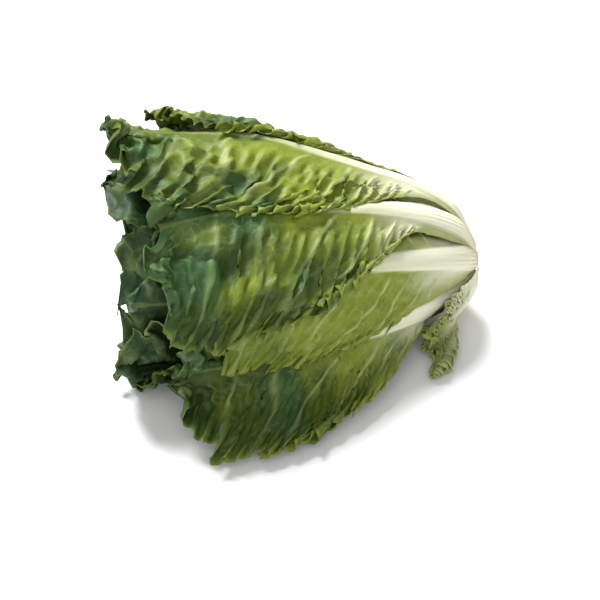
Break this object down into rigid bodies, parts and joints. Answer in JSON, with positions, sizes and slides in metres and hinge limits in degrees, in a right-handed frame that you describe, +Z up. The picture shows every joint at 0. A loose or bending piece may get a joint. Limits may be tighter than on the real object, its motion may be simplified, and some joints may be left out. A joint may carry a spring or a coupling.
{
  "type": "head of endive",
  "caption": "A cut head of broad-leaved endive lying on its side, with pale ribs that fan out from the butt into ruffled green blades.",
  "frame": {"origin": "on the surface that the head lies on, under the middle of its bounding box", "axes": "+Z up; +X along the head from the leaf tips to the cut butt; -Y towards the side whose lowest leaf lies out on the surface"},
  "size_m": [0.2844, 0.2814, 0.1936],
  "materials": {
    "outer_leaf": "fresh leaf, slightly waxy: deep green and blistered with a thin yellower edge, over a broad smooth rib that is cream at the foot",
    "middle_leaf": "fresh leaf, slightly waxy: mid green, blistered and ruffled, paler at the foot",
    "heart_leaf": "young leaf, tender and satin: pale yellow-green, cream at the foot",
    "stem": "cut core: moist cream flesh, browned on the cut and along the root stub"
  },
  "bodies": {
    "root": {"stem": "stem", "heart_leaf_01": "heart_leaf", "heart_leaf_02": "heart_leaf", "heart_leaf_03": "heart_leaf", "heart_leaf_04": "heart_leaf", "heart_leaf_05": "heart_leaf", "heart_leaf_06": "heart_leaf", "heart_leaf_07": "heart_leaf", "heart_leaf_08": "heart_leaf", "heart_leaf_09": "heart_leaf", "heart_leaf_10": "heart_leaf", "heart_leaf_11": "heart_leaf", "heart_leaf_12": "heart_leaf", "heart_leaf_13": "heart_leaf", "heart_leaf_14": "heart_leaf", "middle_leaf_01": "middle_leaf", "middle_leaf_02": "middle_leaf", "middle_leaf_03": "middle_leaf", "middle_leaf_04": "middle_leaf", "middle_leaf_05": "middle_leaf", "middle_leaf_06": "middle_leaf", "middle_leaf_07": "middle_leaf", "middle_leaf_08": "middle_leaf", "middle_leaf_09": "middle_leaf", "middle_leaf_10": "middle_leaf", "middle_leaf_11": "middle_leaf", "middle_leaf_12": "middle_leaf", "middle_leaf_13": "middle_leaf", "middle_leaf_14": "middle_leaf", "middle_leaf_15": "middle_leaf", "middle_leaf_16": "middle_leaf", "outer_leaf_01": "outer_leaf", "outer_leaf_02": "outer_leaf", "outer_leaf_03": "outer_leaf", "outer_leaf_04": "outer_leaf", "outer_leaf_05": "outer_leaf", "outer_leaf_06": "outer_leaf", "outer_leaf_07": "outer_leaf", "outer_leaf_08": "outer_leaf", "outer_leaf_09": "outer_leaf", "outer_leaf_10": "outer_leaf"}
  },
  "joints": []
}
